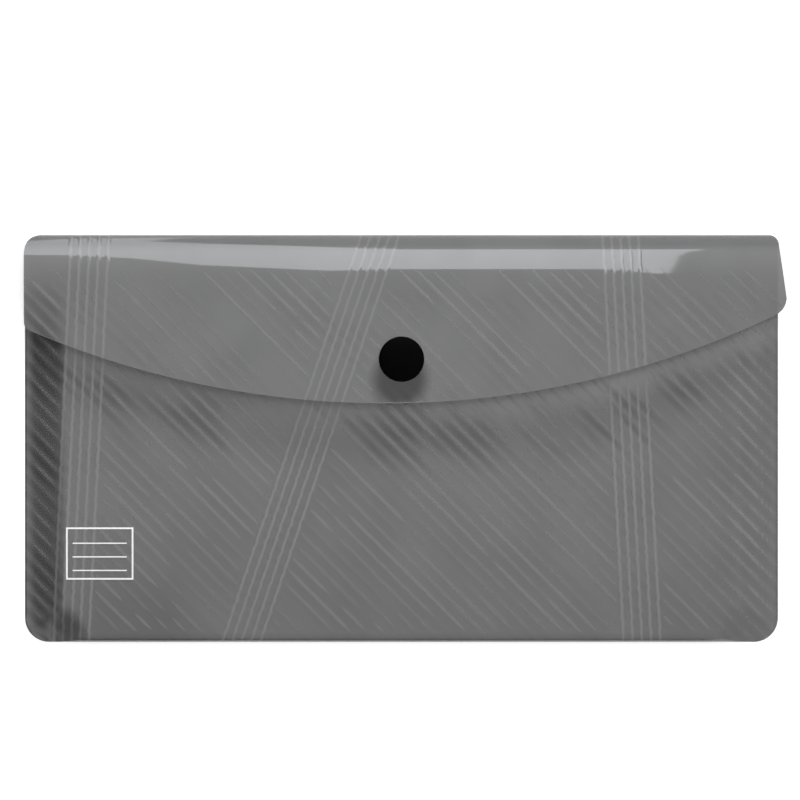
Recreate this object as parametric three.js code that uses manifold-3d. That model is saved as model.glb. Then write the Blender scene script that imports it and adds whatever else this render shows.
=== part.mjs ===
// A plastic envelope folder with a press stud, in millimetres, lying on its back with the flap closed.
// +X runs across the folder, +Y towards the top fold and +Z out through the front.
// The origin is the centre of the back panel's outer face.
import * as THREE from "three";
import { mergeVertices } from "three/addons/utils/BufferGeometryUtils.js";
import Module from "manifold-3d";

const wasm = await Module();
wasm.setup();

// The folded sheet
const folder_width = 250;
const folder_height = 135;
const film = 0.2;
const corner_round = 8;

// The pocket between the back and front panels
const pocket_rise = 6;
const weld_gap = 0.2;
const side_ramp = 13;
const bottom_ramp = 36;
const bottom_loss = 0.35;
const bottom_land = 1;
const mouth_drop = 16;

// The welded edges down both sides
const weld_width = 1;
const weld_rise = 0.6;
const weld_clearance = 0.3;

// The soft fold between the back panel and the flap
const crease_reach = 14;
const crease_gap = 0.3;
const left_shoulder = 5;
const right_shoulder = 3;

// The flap, whose lower edge is one long arc
const flap_drop = 55.8;
const flap_edge_radius = 300;
const flap_edge_shift = 5.3;
const flap_flare = 2.4;
const left_corner_round = 2;
const right_corner_round = 4;
const flap_droop = 2;
const flap_droop_width = 16;
const flap_droop_run = 24;

// The press stud: two caps with posts, a stud and a socket
const stud_drop = 41.2;
const cap_diameter = 15;
const cap_rise = 1.1;
const cap_rim = 0.4;
const post_diameter = 2.4;
const post_clearance = 0.2;
const rivet_diameter = 3.2;
const rivet_thickness = 0.3;
const ring_diameter = 10.6;
const ring_chamfer = 0.3;
const ring_web = 0.7;
const socket_height = 2;
const bulb_diameter = 4.4;
const bulb_wall = 0.5;
const bulb_waist = 0.2;
const bulb_headroom = 0.2;
const lip_height = 0.4;
const lip_clearance = 0.25;
const lip_undercut = 0.35;
const snap_gap = 0.3;

// How finely the round stretches are divided
const arc_steps = 8;
const edge_steps = 30;
const ramp_steps = 7;
const turn_steps = 28;

// Places worked out from the sizes above
const side_x = folder_width / 2;
const fold_y = folder_height / 2;
const bottom_y = -fold_y;
const crease_y = fold_y - crease_reach;
const mouth_y = fold_y - mouth_drop;
const stud_y = fold_y - stud_drop;
const edge_rise = 2 * film + weld_gap;
const bottom_rise = edge_rise + (pocket_rise - edge_rise) * (1 - bottom_loss);
const seam_y = bottom_y + bottom_rise / 2 + bottom_land;
const bottom_half = side_x - corner_round - weld_clearance;
const stud_top = pocket_rise + ring_web;
const socket_low = stud_top + snap_gap;
const flap_low = socket_low + socket_height;
const flap_top = flap_low + film;
const crease_z = flap_top / 2;
const far = folder_width + folder_height;
const same_point = 1e-5;

// Materials
const film_look = { color: 0x77797b, roughness: 0.35, metalness: 0 };
const stud_look = { color: 0x0b0b0c, roughness: 0.3, metalness: 0 };

// A closed surface becomes a solid that can be joined and cut
function toSolid(geometry) {
  const plain = geometry.clone();
  plain.deleteAttribute("normal");
  plain.deleteAttribute("uv");
  const merged = mergeVertices(plain, same_point);
  const corners = merged.index.array;
  const triangles = [];
  for (let i = 0; i < corners.length; i += 3) {
    const [a, b, c] = corners.slice(i, i + 3);
    if (a !== b && b !== c && c !== a) triangles.push(a, b, c);
  }
  const mesh = new wasm.Mesh({
    numProp: 3,
    vertProperties: new Float32Array(merged.attributes.position.array),
    triVerts: new Uint32Array(triangles),
  });
  return new wasm.Manifold(mesh);
}

function toGeometry(solid) {
  const mesh = solid.getMesh();
  const geometry = new THREE.BufferGeometry();
  geometry.setAttribute("position", new THREE.BufferAttribute(mesh.vertProperties, 3));
  geometry.setIndex(new THREE.BufferAttribute(mesh.triVerts, 1));
  geometry.computeVertexNormals();
  return geometry;
}

// A plan outline made as thick as the stretch from low to high
function prism(shape, low, high, steps = arc_steps) {
  const settings = { depth: high - low, bevelEnabled: false, curveSegments: steps };
  const geometry = new THREE.ExtrudeGeometry(shape, settings);
  geometry.translate(0, 0, low);
  return toSolid(geometry);
}

function block(x_low, x_high, y_low, y_high) {
  const geometry = new THREE.BoxGeometry(x_high - x_low, y_high - y_low, 2 * far);
  geometry.translate((x_low + x_high) / 2, (y_low + y_high) / 2, 0);
  return toSolid(geometry);
}

function drill(x, y, diameter) {
  const shape = new THREE.Shape();
  shape.absarc(x, y, diameter / 2, 0, 2 * Math.PI, false);
  return prism(shape, -far, far, turn_steps);
}

// A smooth rise from 0 to 1
function ease(share) {
  const t = Math.min(1, Math.max(0, share));
  return t * t * (3 - 2 * t);
}

// The distance from a point of the plan to the nearer side edge or bottom corner
function edgeDistance(x, y) {
  const across = Math.abs(x);
  const corner_x = side_x - corner_round;
  const corner_y = bottom_y + corner_round;
  const from_side = side_x - across;
  if (y >= corner_y && across >= corner_x) return from_side;
  if (across >= corner_x) return corner_round - Math.hypot(across - corner_x, y - corner_y);
  return Math.min(from_side, Math.hypot(across - corner_x, y - bottom_y));
}

// The front panel bulges from its welded edges and slopes down towards the bottom fold
function frontHeight(x, y) {
  const side = ease((edgeDistance(x, y) - weld_width) / side_ramp);
  const up = Math.min(1, Math.max(0, y - seam_y) / bottom_ramp);
  const share = side * (1 - bottom_loss * (1 - up) ** 2);
  return edge_rise * (1 - share) + pocket_rise * share;
}

// The flap is flat in the middle and droops at its two side margins
function flapHeight(x, y) {
  const margin = 1 - ease((side_x - Math.abs(x)) / flap_droop_width);
  return flap_top - flap_droop * margin * ease((crease_y - y) / flap_droop_run);
}

// Equal steps between two places, both ends included
function steps(from, to, count) {
  return Array.from({ length: count + 1 }, (_, i) => from + ((to - from) * i) / count);
}

// A film sheet whose outer face follows a height over the plan
function sheet(xs, ys, height) {
  const layers = [height, (x, y) => height(x, y) - film];
  const points = layers.flatMap((layer) => ys.flatMap((y) => xs.map((x) => [x, y, layer(x, y)])));
  const columns = xs.length;
  const under = columns * ys.length;
  const triangles = [];
  const quad = (a, b, c, d) => triangles.push(a, b, c, a, c, d);
  for (let row = 0; row < ys.length - 1; row++) {
    for (let column = 0; column < columns - 1; column++) {
      const near = row * columns + column;
      const away = near + columns;
      quad(near, near + 1, away + 1, away);
      quad(under + near, under + away, under + away + 1, under + near + 1);
    }
    const left = row * columns;
    const right = left + columns - 1;
    quad(left, left + columns, under + left + columns, under + left);
    quad(right, under + right, under + right + columns, right + columns);
  }
  for (let column = 0; column < columns - 1; column++) {
    const top = under - columns + column;
    quad(column, under + column, under + column + 1, column + 1);
    quad(top, top + 1, under + top + 1, under + top);
  }
  const geometry = new THREE.BufferGeometry();
  geometry.setAttribute("position", new THREE.Float32BufferAttribute(points.flat(), 3));
  geometry.setIndex(triangles);
  return toSolid(geometry);
}

// The pocket's plan outline, drawn in from its edge
function pocketOutline(inset) {
  const side = side_x - inset;
  const low = bottom_y + inset;
  const round = corner_round - inset;
  const shape = new THREE.Shape();
  shape.moveTo(-side, fold_y - left_shoulder);
  shape.lineTo(-side, low + round);
  shape.absarc(-side + round, low + round, round, Math.PI, 1.5 * Math.PI, false);
  shape.lineTo(side - round, low);
  shape.absarc(side - round, low + round, round, 1.5 * Math.PI, 2 * Math.PI, false);
  shape.lineTo(side, fold_y - right_shoulder);
  shape.quadraticCurveTo(side, fold_y, side - right_shoulder, fold_y);
  shape.lineTo(-side + left_shoulder, fold_y);
  shape.quadraticCurveTo(-side, fold_y, -side, fold_y - left_shoulder);
  return shape;
}

// The flap's plan outline, with its long arc and its right side flaring out
function flapOutline() {
  const arc_x = -flap_edge_shift;
  const arc_y = fold_y - flap_drop + flap_edge_radius;
  const arcAngle = (x) => 1.5 * Math.PI + Math.asin((x - arc_x) / flap_edge_radius);
  const arcHeight = (x) => arc_y + flap_edge_radius * Math.sin(arcAngle(x));
  const right = side_x + flap_flare;
  const left_turn = -side_x + left_corner_round;
  const right_turn = right - right_corner_round;
  const shape = new THREE.Shape();
  shape.moveTo(-side_x, fold_y - left_shoulder);
  shape.lineTo(-side_x, arcHeight(-side_x) + left_corner_round);
  shape.quadraticCurveTo(-side_x, arcHeight(-side_x), left_turn, arcHeight(left_turn));
  shape.absarc(arc_x, arc_y, flap_edge_radius, arcAngle(left_turn), arcAngle(right_turn), false);
  shape.quadraticCurveTo(right, arcHeight(right), right, arcHeight(right) + right_corner_round);
  shape.lineTo(side_x, fold_y - right_shoulder);
  shape.quadraticCurveTo(side_x, fold_y, side_x - right_shoulder, fold_y);
  shape.lineTo(-side_x + left_shoulder, fold_y);
  shape.quadraticCurveTo(-side_x, fold_y, -side_x, fold_y - left_shoulder);
  return shape;
}

// The cut in both panels where the bottom fold lies between its rounded corners
function bottomSlot() {
  return block(-bottom_half - weld_clearance, bottom_half + weld_clearance, bottom_y - 1, seam_y);
}

function backPanel() {
  const plate = prism(pocketOutline(0), 0, film);
  return plate.intersect(block(-far, far, -far, crease_y)).subtract(bottomSlot());
}

// Places across the folder, close together only where the front panel rises
function acrossPlaces() {
  const high_x = side_x - corner_round - side_ramp;
  const left = steps(-side_x, -high_x, 2 * ramp_steps);
  return [...left, ...left.map((x) => -x).reverse()];
}

function frontPanel() {
  const round_y = bottom_y + corner_round + side_ramp;
  const level_y = seam_y + bottom_ramp;
  const low = steps(bottom_y, seam_y, 2).slice(0, -1);
  const corner = steps(seam_y, round_y, ramp_steps).slice(0, -1);
  const ys = [...low, ...corner, ...steps(round_y, level_y, 5), mouth_y];
  const panel = sheet(acrossPlaces(), ys, frontHeight);
  const trimmed = panel.intersect(prism(pocketOutline(weld_width + weld_clearance), -far, far));
  const hole = drill(0, stud_y, post_diameter + 2 * post_clearance);
  return trimmed.subtract(bottomSlot()).subtract(hole);
}

// One cross-section of the bottom fold: round outside, and hollow by one film thickness less
function bottomSection(x) {
  const rise = frontHeight(x, seam_y);
  const middle = rise / 2;
  const centre_y = bottom_y + middle;
  const round = (radius, angle) => [
    x,
    centre_y - radius * Math.cos(angle),
    middle + radius * Math.sin(angle),
  ];
  const angles = steps(-Math.PI / 2, Math.PI / 2, arc_steps);
  const outer = angles.map((angle) => round(middle, angle));
  const inner = angles.map((angle) => round(middle - film, angle)).reverse();
  return [[x, seam_y, 0], ...outer, [x, seam_y, rise], [x, seam_y, rise - film], ...inner, [x, seam_y, film]];
}

// A closed body through equal rings of points, with the two end rings filled
function loft(rings) {
  const count = rings[0].length;
  const triangles = [];
  for (let ring = 0; ring < rings.length - 1; ring++) {
    for (let i = 0; i < count; i++) {
      const a = ring * count + i;
      const b = ring * count + ((i + 1) % count);
      triangles.push(a, a + count, b + count, a, b + count, b);
    }
  }
  const last = (rings.length - 1) * count;
  const outline = rings[0].map(([, y, z]) => new THREE.Vector2(y, z));
  for (const [a, b, c] of THREE.ShapeUtils.triangulateShape(outline, [])) {
    triangles.push(a, c, b, last + a, last + b, last + c);
  }
  const geometry = new THREE.BufferGeometry();
  geometry.setAttribute("position", new THREE.Float32BufferAttribute(rings.flat(2), 3));
  geometry.setIndex(triangles);
  return geometry;
}

function bottomFold() {
  const inside = acrossPlaces().filter((x) => Math.abs(x) < bottom_half - weld_clearance);
  return loft([-bottom_half, ...inside, bottom_half].map(bottomSection));
}

// The welded edge: a low bead from the mouth down one side and round the bottom corner
function weld(side) {
  const corner_x = side_x - corner_round;
  const corner_y = bottom_y + corner_round;
  const shape = new THREE.Shape();
  shape.moveTo(corner_x, bottom_y);
  shape.absarc(corner_x, corner_y, corner_round, 1.5 * Math.PI, 2 * Math.PI, false);
  shape.lineTo(side_x, mouth_y);
  shape.lineTo(side_x - weld_width, mouth_y);
  shape.absarc(corner_x, corner_y, corner_round - weld_width, 2 * Math.PI, 1.5 * Math.PI, true);
  const bead = prism(shape, film, film + weld_rise);
  return side > 0 ? bead : bead.mirror([1, 0, 0]);
}

// Half of the soft fold: below its outermost line for the back, above it for the flap
function crease(half, outline) {
  const rise = crease_z;
  const start = (half * Math.PI) / 2;
  const outer_end = half * Math.asin(crease_gap / 2 / rise);
  const inner_end = half * Math.asin(crease_gap / 2 / (rise - film));
  const shape = new THREE.Shape();
  const inner_reach = crease_reach - film;
  shape.moveTo(crease_y, crease_z + half * rise);
  shape.absellipse(crease_y, crease_z, crease_reach, rise, start, outer_end, half > 0);
  shape.absellipse(crease_y, crease_z, inner_reach, rise - film, inner_end, start, half < 0);
  const settings = { depth: far, bevelEnabled: false, curveSegments: arc_steps };
  const strip = new THREE.ExtrudeGeometry(shape, settings);
  strip.translate(0, 0, -far / 2);
  const y_axis = new THREE.Vector3(0, 1, 0);
  const z_axis = new THREE.Vector3(0, 0, 1);
  const x_axis = new THREE.Vector3(1, 0, 0);
  strip.applyMatrix4(new THREE.Matrix4().makeBasis(y_axis, z_axis, x_axis));
  return toSolid(strip).intersect(prism(outline, -far, far));
}

function flapPanel() {
  const high_x = side_x - flap_droop_width;
  const left = steps(-side_x - flap_flare, -high_x, ramp_steps);
  const xs = [...left, ...left.map((x) => -x).reverse()];
  const low_y = fold_y - flap_drop - 1;
  const ys = [low_y, ...steps(crease_y - flap_droop_run, crease_y, ramp_steps)];
  const panel = sheet(xs, ys, flapHeight);
  const hole = drill(0, stud_y, post_diameter + 2 * post_clearance);
  return panel.intersect(prism(flapOutline(), -far, far, edge_steps)).subtract(hole);
}

// A round body about the press stud's axis, from [radius, height] points
function turned(points) {
  const profile = points.map(([radius, height]) => new THREE.Vector2(radius, height));
  const geometry = new THREE.LatheGeometry(profile, turn_steps);
  geometry.rotateX(Math.PI / 2);
  geometry.translate(0, stud_y, 0);
  return geometry;
}

// A domed cap seated at one height, with its post clenched behind the part that it holds
function cap(seat, out, post_length) {
  const radius = cap_diameter / 2;
  const dome = steps(0, Math.PI / 2, arc_steps).map((angle) => [
    radius * Math.sin(angle),
    cap_rim + (cap_rise - cap_rim) * Math.cos(angle),
  ]);
  dome[0][0] = 0;
  const points = [
    ...dome,
    [radius, 0],
    [post_diameter / 2, 0],
    [post_diameter / 2, -post_length],
    [rivet_diameter / 2, -post_length],
    [rivet_diameter / 2, -post_length - rivet_thickness],
    [0, -post_length - rivet_thickness],
  ].map(([r, height]) => [r, seat + out * height]);
  return turned(out > 0 ? points.reverse() : points);
}

// The ring under the flap that presses over the stud
function flapSocket() {
  const hole = post_diameter / 2 + post_clearance;
  const outside = ring_diameter / 2;
  const lip = bulb_diameter / 2 + lip_clearance;
  const cavity = lip + lip_undercut;
  return turned([
    [hole, flap_low - ring_web],
    [cavity, flap_low - ring_web],
    [cavity, socket_low + lip_height + lip_undercut],
    [lip, socket_low + lip_height],
    [lip, socket_low],
    [outside - ring_chamfer, socket_low],
    [outside, socket_low + ring_chamfer],
    [outside, flap_low],
    [hole, flap_low],
    [hole, flap_low - ring_web],
  ]);
}

// The ring on the front panel with its hollow bulb
function pocketStud() {
  const hole = post_diameter / 2 + post_clearance;
  const outside = ring_diameter / 2;
  const bulb = bulb_diameter / 2;
  const bulb_top = flap_low - ring_web - rivet_thickness - bulb_headroom;
  const bulb_middle = (stud_top + bulb_top) / 2;
  return turned([
    [hole, pocket_rise],
    [outside, pocket_rise],
    [outside, stud_top - ring_chamfer],
    [outside - ring_chamfer, stud_top],
    [bulb - bulb_waist, stud_top],
    [bulb, bulb_middle],
    [bulb - bulb_waist, bulb_top],
    [bulb - bulb_wall, bulb_top],
    [bulb - bulb_wall, stud_top],
    [hole, stud_top],
    [hole, pocket_rise],
  ]);
}

const folder = new THREE.Group();

function add(name, body, look) {
  const geometry = body.isBufferGeometry ? body : toGeometry(body);
  const mesh = new THREE.Mesh(geometry, new THREE.MeshStandardMaterial(look));
  mesh.name = name;
  folder.add(mesh);
}

add("back_panel", backPanel(), film_look);
add("bottom_fold", bottomFold(), film_look);
add("front_panel", frontPanel(), film_look);
add("left_weld", weld(-1), film_look);
add("right_weld", weld(1), film_look);
add("back_crease", crease(-1, pocketOutline(0)), film_look);
add("flap_crease", crease(1, flapOutline()), film_look);
add("flap_panel", flapPanel(), film_look);
add("flap_cap", cap(flap_top, 1, film + ring_web), stud_look);
add("flap_socket", flapSocket(), stud_look);
add("pocket_stud", pocketStud(), stud_look);
add("pocket_cap", cap(pocket_rise - film, -1, film + ring_web), stud_look);

export default folder;
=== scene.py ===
# %% [markdown]
# # A plastic envelope folder in smoke-grey film
# The folder is one sheet of thin translucent polypropylene, folded into a pocket with a flap.
# Its two sides are welded, and a black press stud holds the flap.
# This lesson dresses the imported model: thin shells stand for the film, and its places come from the frame.

# %% Load the frame
import math
import random

import bmesh
import bpy
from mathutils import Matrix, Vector


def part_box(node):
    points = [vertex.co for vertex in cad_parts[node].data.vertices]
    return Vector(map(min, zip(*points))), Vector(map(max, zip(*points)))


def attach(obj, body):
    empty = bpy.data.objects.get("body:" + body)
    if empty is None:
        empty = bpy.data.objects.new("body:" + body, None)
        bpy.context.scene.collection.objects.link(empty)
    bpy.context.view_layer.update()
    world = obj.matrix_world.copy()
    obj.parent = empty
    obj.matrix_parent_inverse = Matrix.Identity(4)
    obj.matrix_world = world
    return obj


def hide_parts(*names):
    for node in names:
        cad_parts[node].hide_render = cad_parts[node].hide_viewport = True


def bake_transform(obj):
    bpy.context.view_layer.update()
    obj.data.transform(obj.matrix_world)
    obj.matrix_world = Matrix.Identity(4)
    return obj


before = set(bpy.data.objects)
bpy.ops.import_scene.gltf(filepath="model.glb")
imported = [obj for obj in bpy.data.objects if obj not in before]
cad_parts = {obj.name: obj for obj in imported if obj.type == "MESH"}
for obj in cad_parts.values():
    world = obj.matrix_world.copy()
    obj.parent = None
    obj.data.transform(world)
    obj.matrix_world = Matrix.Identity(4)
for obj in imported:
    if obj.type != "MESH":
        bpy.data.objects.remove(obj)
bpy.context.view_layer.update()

# %% [markdown]
# ## Sizes
# The frame's boxes give the places that matter: the sides, the folds, the mouth and the stud.
# A size that no box tells, such as how wide a line is, is written in millimetres where it is first used.

# %% Sizes from the frame
MM = 0.001
back_low, back_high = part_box("back_panel")
crease_low, crease_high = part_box("back_crease")
front_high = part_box("front_panel")[1]
flap_low, flap_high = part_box("flap_panel")
cap_low, cap_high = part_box("flap_cap")
side = back_high.x
bottom = back_low.y
film = back_high.z
fold = crease_high.y
crease = crease_low.y
mouth = front_high.y
pocket_top = front_high.z
flap_top = flap_high.z
flap_right = flap_high.x
flap_bottom = flap_low.y
stud_y = (cap_low.y + cap_high.y) / 2
print("half width", side, "fold", fold, "mouth", mouth, "flap top", flap_top, "stud", stud_y)

# %% [markdown]
# ## The form of the front
# The front is lowest at its welded sides, bulges within a finger's width and slopes to the bottom fold.
# The form is a small function of the plan place, so a flat grid can be laid on it later.

# %% Height of the front
corner_round = 8 * MM
# The front rises from edge_rise beside the weld to its full height within side_ramp
weld_width = 1 * MM
edge_rise = 0.6 * MM
side_ramp = 13 * MM
# Over bottom_ramp it gives up the share bottom_loss of that, down to the seam line at the bottom fold
bottom_ramp = 36 * MM
bottom_loss = 0.22
bottom_land = 1 * MM
bottom_rise = edge_rise + (pocket_top - edge_rise) * (1 - bottom_loss)
seam = bottom + bottom_rise / 2 + bottom_land


def ease(share):
    """A soft step from 0 to 1 that is level at both ends."""
    t = min(1.0, max(0.0, share))
    return t * t * (3 - 2 * t)


def edge_distance(x, y):
    """How far a place is from the welded edge, which runs down a side and round its bottom corner."""
    across = abs(x)
    corner_x = side - corner_round
    corner_y = bottom + corner_round
    if y >= corner_y and across >= corner_x:
        return side - across
    if across >= corner_x:
        return corner_round - math.hypot(across - corner_x, y - corner_y)
    return min(side - across, math.hypot(across - corner_x, y - bottom))


def front_height(x, y):
    rise = ease((edge_distance(x, y) - weld_width) / side_ramp)
    up = min(1.0, max(0.0, y - seam) / bottom_ramp)
    share = rise * (1 - bottom_loss * (1 - up) ** 2)
    return edge_rise * (1 - share) + pocket_top * share


print("front in the middle", front_height(0, 0), "at the seam line", front_height(0, seam))

# %% [markdown]
# ## The form of the flap
# The flap leaves the soft fold on a quarter of an ellipse and then lies flat over the front.
# Its two side margins droop a little, because the pocket under them is thin.

# %% Height of the flap
crease_z = flap_top / 2
crease_reach = fold - crease
flap_droop = 2 * MM
droop_width = 16 * MM
droop_run = 24 * MM


def flap_height(x, y):
    if y > crease:
        along = min(1.0, (y - crease) / crease_reach)
        return crease_z + crease_z * math.sqrt(1 - along * along)
    margin = 1 - ease((side - abs(x)) / droop_width)
    return flap_top - flap_droop * margin * ease((crease - y) / droop_run)


print("flap near the fold", flap_height(0, crease), "at its right margin", flap_height(side, 0))

# %% [markdown]
# ## The outline of the sheet
# The pocket's bottom corners are round, the fold's ends have small shoulders and the flap's edge is an arc.
# A row of the grid only needs to know where the sheet ends on its left and on its right.

# %% Where the pocket and the fold end
left_shoulder = 6.5 * MM
right_shoulder = 4 * MM


def shoulder(y, reach):
    """How far a side is drawn in near the fold, where its corner is round."""
    share = math.sqrt(min(1.0, max(0.0, fold - y) / reach))
    return reach * (1 - share) ** 2


def pocket_limit(y):
    drop = bottom + corner_round - y
    if drop <= 0:
        return side
    return side - corner_round + math.sqrt(max(0.0, corner_round**2 - drop**2))


print("drawn in at the fold: left", shoulder(fold, left_shoulder), "right", shoulder(fold, right_shoulder))

# %% Where the flap ends
edge_radius = 300 * MM
edge_shift = 5.3 * MM
left_corner = 2 * MM
right_corner = 4 * MM


def edge_arc(x):
    return flap_bottom + edge_radius - math.sqrt(edge_radius**2 - (x + edge_shift) ** 2)


def rounded_corner(from_end, end_x, size, inwards):
    """The flap's edge near a corner: a curve that leaves the side upright and meets the arc."""
    t = math.sqrt(from_end / size)
    start = edge_arc(end_x)
    end = edge_arc(end_x + inwards * size)
    return (1 - t) ** 2 * (start + size) + 2 * t * (1 - t) * start + t * t * end


def flap_edge(x):
    if x > flap_right - right_corner:
        return rounded_corner(max(0.0, flap_right - x), flap_right, right_corner, -1)
    if x < -side + left_corner:
        return rounded_corner(max(0.0, x + side), -side, left_corner, 1)
    return edge_arc(x)


def flap_right_limit(y):
    """The flap flares out to the right on its way down."""
    flare_top = fold - right_shoulder
    flare_low = edge_arc(flap_right) + right_corner
    flare = min(1.0, max(0.0, (flare_top - y) / (flare_top - flare_low)))
    return side - shoulder(y, right_shoulder) + (flap_right - side) * flare


def flap_left_limit(y):
    return -side + shoulder(y, left_shoulder)


print("flap's edge: lowest", edge_arc(-edge_shift), "at its ends", flap_edge(-side), flap_edge(flap_right))

# %% [markdown]
# ## The embossed bands
# Three bands of five raised lines run down the folder, with short slanting lines in the fields between.
# They were pressed into the flat sheet, so a line is a place across it that changes evenly downwards.
# The real lines waver by a fraction of a millimetre, which three sines repeat, each line a little later.

# %% Lines of the three bands
line_width = 1.4 * MM
line_rise = 0.05 * MM
lines_in_band = 5
# Each band: place of its first line at the top fold and at the bottom fold, and the pitch at both
bands = [
    {"top": -109.3 * MM, "bottom": -115.4 * MM, "pitch_top": 3.12 * MM, "pitch_bottom": 2.94 * MM},
    {"top": -13.2 * MM, "bottom": -59.4 * MM, "pitch_top": 3.12 * MM, "pitch_bottom": 3.13 * MM},
    {"top": 66.5 * MM, "bottom": 73.6 * MM, "pitch_top": 2.95 * MM, "pitch_bottom": 3.05 * MM},
]
line_count = lines_in_band * len(bands)
# Each sine: how long one wave is, how far it goes, and how far the next line lags behind
waves = [(3.1 * MM, 0.06 * MM, 1.9), (4.7 * MM, 0.06 * MM, 3.3), (8.9 * MM, 0.05 * MM, 2.7)]


def line_place(number, y, waver=1.0):
    band = bands[number // lines_in_band]
    step = number % lines_in_band
    down = (fold - y) / (fold - bottom)
    start = band["top"] + step * band["pitch_top"]
    end = band["bottom"] + step * band["pitch_bottom"]
    swing = sum(size * math.sin(2 * math.pi * y / length + lag * number) for length, size, lag in waves)
    return start + (end - start) * down + waver * swing


print("lines", line_count, "first at the fold", line_place(0, fold))

# %% [markdown]
# ## A grid whose columns follow the lines
# A plain grid would need faces smaller than a line everywhere.
# Instead the columns are sheared to run along the lines, and a line's crest lies between its two feet.
# The columns between two bands are spread evenly, so the faces stay few where the film is plain.

# %% Columns of the grid
# How many columns lie in each stretch between two lines, from the left edge to the right edge
between_lines = [0] * (lines_in_band - 1)
stretches = [12, *between_lines, 13, *between_lines, 17, *between_lines, 18]
# Across one line: its crest, its two feet, and a flat column outside each foot, which keeps the field flat
line_columns = (-0.65, -0.5, 0.0, 0.5, 0.65)


def stretch_shares(number, count):
    """The two outer stretches pack their columns towards the sheet's edge, where its corners are round."""
    even = [(i + 1) / (count + 1) for i in range(count)]
    if number == 0:
        return [1 - math.cos(math.pi / 2 * share) for share in even]
    if number == line_count:
        return [math.sin(math.pi / 2 * share) for share in even]
    return even


def column_plan():
    plan = []
    for number, count in enumerate(stretches):
        plan += [("field", number, share) for share in stretch_shares(number, count)]
        if number < line_count:
            plan += [("line", number, foot) for foot in line_columns]
    return [("left", 0, 0.0)] + plan + [("right", 0, 0.0)]


def column_place(column, y, left, right, waver):
    kind, number, share = column
    if kind == "left":
        return left
    if kind == "right":
        return right
    if kind == "line":
        return line_place(number, y, waver) + share * line_width
    reach = line_columns[-1] * line_width
    before = left if number == 0 else line_place(number - 1, y, waver) + reach
    after = right if number == line_count else line_place(number, y, waver) - reach
    return before + (after - before) * share


def crest_share(column):
    """1 on the crest of a line and 0 elsewhere."""
    return float(column[0] == "line" and column[2] == 0.0)


columns = column_plan()
print("columns", len(columns))

# %% [markdown]
# ## From a flat grid to a sheet
# A new grid runs from -1 to 1, and each vertex is moved to the place of its column and row.
# An attribute called crest keeps how strongly a pressed line shows at a vertex, for the material to read.
# Solidify then gives the sheet its thickness, so only the outer face has to be shaped.


# %% Grid, piece and thickness
def grid_index(coordinate, count):
    return round((coordinate + 1) / 2 * count)


def laid_grid(row_count, place):
    """A grid with the columns above; place(column, row) gives a vertex's point and its crest strength."""
    mesh = bmesh.new()
    width = len(columns) - 1
    bmesh.ops.create_grid(mesh, x_segments=width, y_segments=row_count, size=1)
    crest = mesh.verts.layers.float.new("crest")
    for vertex in mesh.verts:
        column = columns[grid_index(vertex.co.x, width)]
        vertex.co, vertex[crest] = place(column, grid_index(-vertex.co.y, row_count))
    for edge in mesh.edges:
        edge.smooth = not edge.is_boundary
    return mesh


def finished(mesh, name, smooth=True):
    data = bpy.data.meshes.new(name)
    mesh.to_mesh(data)
    mesh.free()
    data.polygons.foreach_set("use_smooth", [smooth] * len(data.polygons))
    piece = bpy.data.objects.new(name, data)
    bpy.context.scene.collection.objects.link(piece)
    return piece


def give_thickness(piece, thickness):
    shell = piece.modifiers.new("film thickness", "SOLIDIFY")
    shell.thickness = thickness
    shell.offset = -1
    shell.use_even_offset = True


print("film thickness", film)

# %% [markdown]
# ## The pocket
# On the real folder the front and the back are one strip, turned up at the bottom.
# One grid runs down the front, round the bottom fold and up the back, so no seam shows at the fold.
# The bottom fold is a half circle whose radius follows the pocket's height, so it tightens at the corners.
# The front ends just inside the side, so that half of the weld's bead stays in sight.

# %% Places on the pocket
front_rows = 238
bottom_rows = 14
back_rows = 44
pocket_rows = front_rows + bottom_rows + back_rows
front_inset = 0.45 * MM


def pocket_place(column, row):
    if front_rows < row <= front_rows + bottom_rows:
        return bottom_place(column, (row - front_rows) / bottom_rows)
    if row <= front_rows:
        y = mouth + (seam - mouth) * row / front_rows
        limit = pocket_limit(y) - front_inset
        x = column_place(column, y, -limit, limit, 1.0)
        z = front_height(x, y) + line_rise * crest_share(column)
        return Vector((x, y, z)), crest_share(column)
    y = seam + (crease - seam) * (row - front_rows - bottom_rows) / back_rows
    x = column_place(column, y, -pocket_limit(y), pocket_limit(y), 0.0)
    return Vector((x, y, 0)), crest_share(column)


def bottom_place(column, turn):
    """A point of the bottom fold: turn 0 is the front's seam line and turn 1 the back's."""
    settle = 1 - ease(turn)
    limit = pocket_limit(seam) - front_inset * settle
    radius = front_height(column_place(column, seam, -limit, limit, settle), seam) / 2
    angle = math.pi * turn
    y = bottom + radius - radius * math.sin(angle)
    if turn >= 1:
        y = seam
    limit = pocket_limit(y) - front_inset * settle
    x = column_place(column, y, -limit, limit, settle)
    return Vector((x, y, radius + radius * math.cos(angle))), crest_share(column)


print("first point of the pocket", pocket_place(columns[0], 0)[0])

# %% Pocket film
pocket_film = finished(laid_grid(pocket_rows, pocket_place), "pocket_film")
give_thickness(pocket_film, film)
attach(pocket_film, "pocket")
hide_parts("front_panel", "bottom_fold", "back_panel")
print("pocket film", len(pocket_film.data.polygons), "faces")

# %% [markdown]
# ## The flap
# The flap is the same sheet, carried on round the soft top fold.
# Its grid starts where the back ends, turns round the fold on half an ellipse and ends at the arc.

# %% Where the cut edge is white and where a highlight is painted on it
# The cut edge looks a little white all along, and a painted highlight makes it whiter below the stud and at
# the left end.
# Each such place has a middle, a reach and a strength, which is full over the first share of the reach.
cut_whiteness = 0.15
edge_highlight_places = [(0, 12 * MM, 0.85), (-side, 17 * MM, 0.9)]
cut_full = 0.7


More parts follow.
